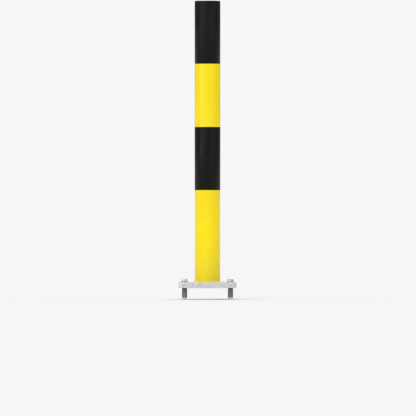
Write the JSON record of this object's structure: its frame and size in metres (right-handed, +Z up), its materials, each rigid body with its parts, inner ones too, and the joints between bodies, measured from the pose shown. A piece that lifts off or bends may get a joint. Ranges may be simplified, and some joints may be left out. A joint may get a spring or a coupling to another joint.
{
  "type": "safety bollard",
  "caption": "Round steel post with black and yellow bands, welded to a square base plate that sleeve anchors bolt to the ground.",
  "frame": {"origin": "centre of the base plate's underside, at ground level; the anchors reach below it", "axes": "+Z up along the post; X and Y along the plate's sides; the front faces -Y"},
  "size_m": [0.2, 0.2, 1.0365],
  "materials": {
    "yellow_coat": "traffic yellow powder coat, semi-gloss",
    "black_film": "black self-adhesive film, satin",
    "black_cap": "black moulded polyethylene, fine grain",
    "galvanised_steel": "hot-dip galvanised, light grey with a faint spangle",
    "zinc_plated_steel": "bright zinc plated",
    "phosphated_steel": "dark grey phosphated, oiled",
    "black_nylon": "black moulded nylon"
  },
  "bodies": {
    "post": {"post_tube": "yellow_coat", "end_cap": "black_cap", "base_plate": "galvanised_steel", "base_weld": "yellow_coat", "black_band_top": "black_film", "black_band_middle": "black_film", "washer_front_left": "zinc_plated_steel", "washer_front_right": "zinc_plated_steel", "washer_back_left": "zinc_plated_steel", "washer_back_right": "zinc_plated_steel", "distance_sleeve_front_left": "phosphated_steel", "distance_sleeve_front_right": "phosphated_steel", "distance_sleeve_back_left": "phosphated_steel", "distance_sleeve_back_right": "phosphated_steel", "crush_collar_front_left": "black_nylon", "crush_collar_front_right": "black_nylon", "crush_collar_back_left": "black_nylon", "crush_collar_back_right": "black_nylon", "expansion_sleeve_front_left": "phosphated_steel", "expansion_sleeve_front_right": "phosphated_steel", "expansion_sleeve_back_left": "phosphated_steel", "expansion_sleeve_back_right": "phosphated_steel"},
    "bolt_front_left": {"bolt_front_left": "zinc_plated_steel"},
    "cone_nut_front_left": {"cone_nut_front_left": "zinc_plated_steel"},
    "bolt_front_right": {"bolt_front_right": "zinc_plated_steel"},
    "cone_nut_front_right": {"cone_nut_front_right": "zinc_plated_steel"},
    "bolt_back_left": {"bolt_back_left": "zinc_plated_steel"},
    "cone_nut_back_left": {"cone_nut_back_left": "zinc_plated_steel"},
    "bolt_back_right": {"bolt_back_right": "zinc_plated_steel"},
    "cone_nut_back_right": {"cone_nut_back_right": "zinc_plated_steel"}
  },
  "joints": [
    {"name": "turn_bolt_front_left", "type": "hinge", "parent": "post", "child": "bolt_front_left", "pos_m": [-0.08, -0.08, 0], "axis": [0, 0, 1], "range_deg": [0, 810]},
    {"name": "draw_cone_nut_front_left", "type": "slide", "parent": "post", "child": "cone_nut_front_left", "axis": [0, 0, -1], "range_m": [0, 0.0039]},
    {"name": "turn_bolt_front_right", "type": "hinge", "parent": "post", "child": "bolt_front_right", "pos_m": [0.08, -0.08, 0], "axis": [0, 0, 1], "range_deg": [0, 810]},
    {"name": "draw_cone_nut_front_right", "type": "slide", "parent": "post", "child": "cone_nut_front_right", "axis": [0, 0, -1], "range_m": [0, 0.0039]},
    {"name": "turn_bolt_back_left", "type": "hinge", "parent": "post", "child": "bolt_back_left", "pos_m": [-0.08, 0.08, 0], "axis": [0, 0, 1], "range_deg": [0, 810]},
    {"name": "draw_cone_nut_back_left", "type": "slide", "parent": "post", "child": "cone_nut_back_left", "axis": [0, 0, -1], "range_m": [0, 0.0039]},
    {"name": "turn_bolt_back_right", "type": "hinge", "parent": "post", "child": "bolt_back_right", "pos_m": [0.08, 0.08, 0], "axis": [0, 0, 1], "range_deg": [0, 810]},
    {"name": "draw_cone_nut_back_right", "type": "slide", "parent": "post", "child": "cone_nut_back_right", "axis": [0, 0, -1], "range_m": [0, 0.0039]}
  ],
  "couplings": [
    {"joint": "turn_bolt_front_left", "follows": "draw_cone_nut_front_left", "rad_per_m": 3590.4},
    {"joint": "turn_bolt_front_right", "follows": "draw_cone_nut_front_right", "rad_per_m": 3590.4},
    {"joint": "turn_bolt_back_left", "follows": "draw_cone_nut_back_left", "rad_per_m": 3590.4},
    {"joint": "turn_bolt_back_right", "follows": "draw_cone_nut_back_right", "rad_per_m": 3590.4}
  ]
}
